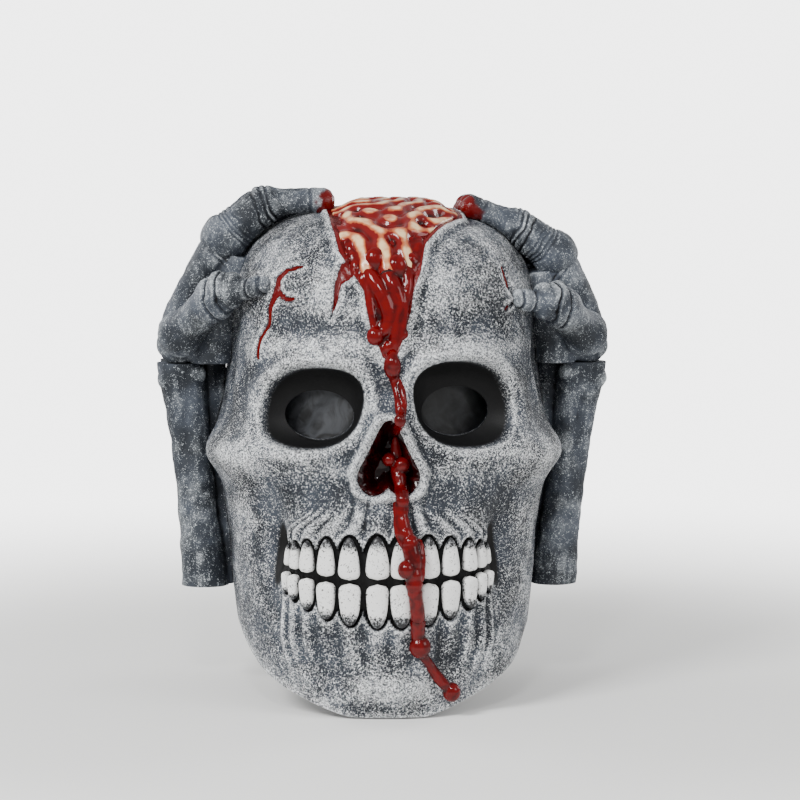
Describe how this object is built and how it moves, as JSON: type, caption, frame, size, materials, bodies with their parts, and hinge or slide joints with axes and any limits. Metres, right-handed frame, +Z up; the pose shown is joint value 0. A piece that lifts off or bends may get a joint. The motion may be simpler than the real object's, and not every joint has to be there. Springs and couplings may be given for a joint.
{
  "type": "pull-over skull mask",
  "caption": "Pull-over latex skull mask gripped by skeleton hands, with an exposed brain, poured gore, clenched teeth and nape flaps that fold out to put it on.",
  "frame": {"origin": "the head seat: middle of the flat underside of the crown pad, where the mask rests on the wearer's head", "axes": "+Z up, the face looks along -Y, the wearer's left is +X"},
  "size_m": [0.272, 0.2394, 0.302],
  "materials": {
    "bone_grey_latex": "matt, slate grey dry-brushed with white",
    "dark_grey_latex": "matt, darker slate grey with pale edges",
    "tooth_white_latex": "satin off-white with grey speckle",
    "brain_latex": "glossy cream folds over red valleys",
    "gloss_gore": "high-gloss dark red coating",
    "black_gauze": "open black weave",
    "charcoal_foam": "soft open-cell foam"
  },
  "bodies": {
    "mask": {"skull_face": "bone_grey_latex", "skull_back": "bone_grey_latex", "brain_insert": "brain_latex", "forehead_gore": "gloss_gore", "gore_brow_run": "gloss_gore", "gore_long_run": "gloss_gore", "upper_teeth": "tooth_white_latex", "lower_teeth": "tooth_white_latex", "eye_mesh_left": "black_gauze", "eye_mesh_right": "black_gauze", "nasal_lining": "gloss_gore", "crown_pad": "charcoal_foam", "left_forearm": "dark_grey_latex", "left_hand_back": "dark_grey_latex", "left_thumb": "dark_grey_latex", "left_index_finger": "dark_grey_latex", "left_middle_finger": "dark_grey_latex", "left_ring_finger": "dark_grey_latex", "left_little_finger": "dark_grey_latex", "right_forearm": "dark_grey_latex", "right_hand_back": "dark_grey_latex", "right_thumb": "dark_grey_latex", "right_index_finger": "dark_grey_latex", "right_middle_finger": "dark_grey_latex", "right_ring_finger": "dark_grey_latex", "right_little_finger": "dark_grey_latex"},
    "flap_left": {"nape_flap_left": "bone_grey_latex"},
    "flap_right": {"nape_flap_right": "bone_grey_latex"}
  },
  "joints": [
    {"name": "left_nape_flap_fold", "type": "hinge", "parent": "mask", "child": "flap_left", "pos_m": [0, 0.1245, -0.118], "axis": [0.5759, -0.3949, -0.7158], "range_deg": [0, 35], "stiffness_Nm_per_rad": 0.05},
    {"name": "right_nape_flap_fold", "type": "hinge", "parent": "mask", "child": "flap_right", "pos_m": [0, 0.1245, -0.118], "axis": [0.5759, 0.3949, 0.7158], "range_deg": [0, 35], "stiffness_Nm_per_rad": 0.05}
  ]
}
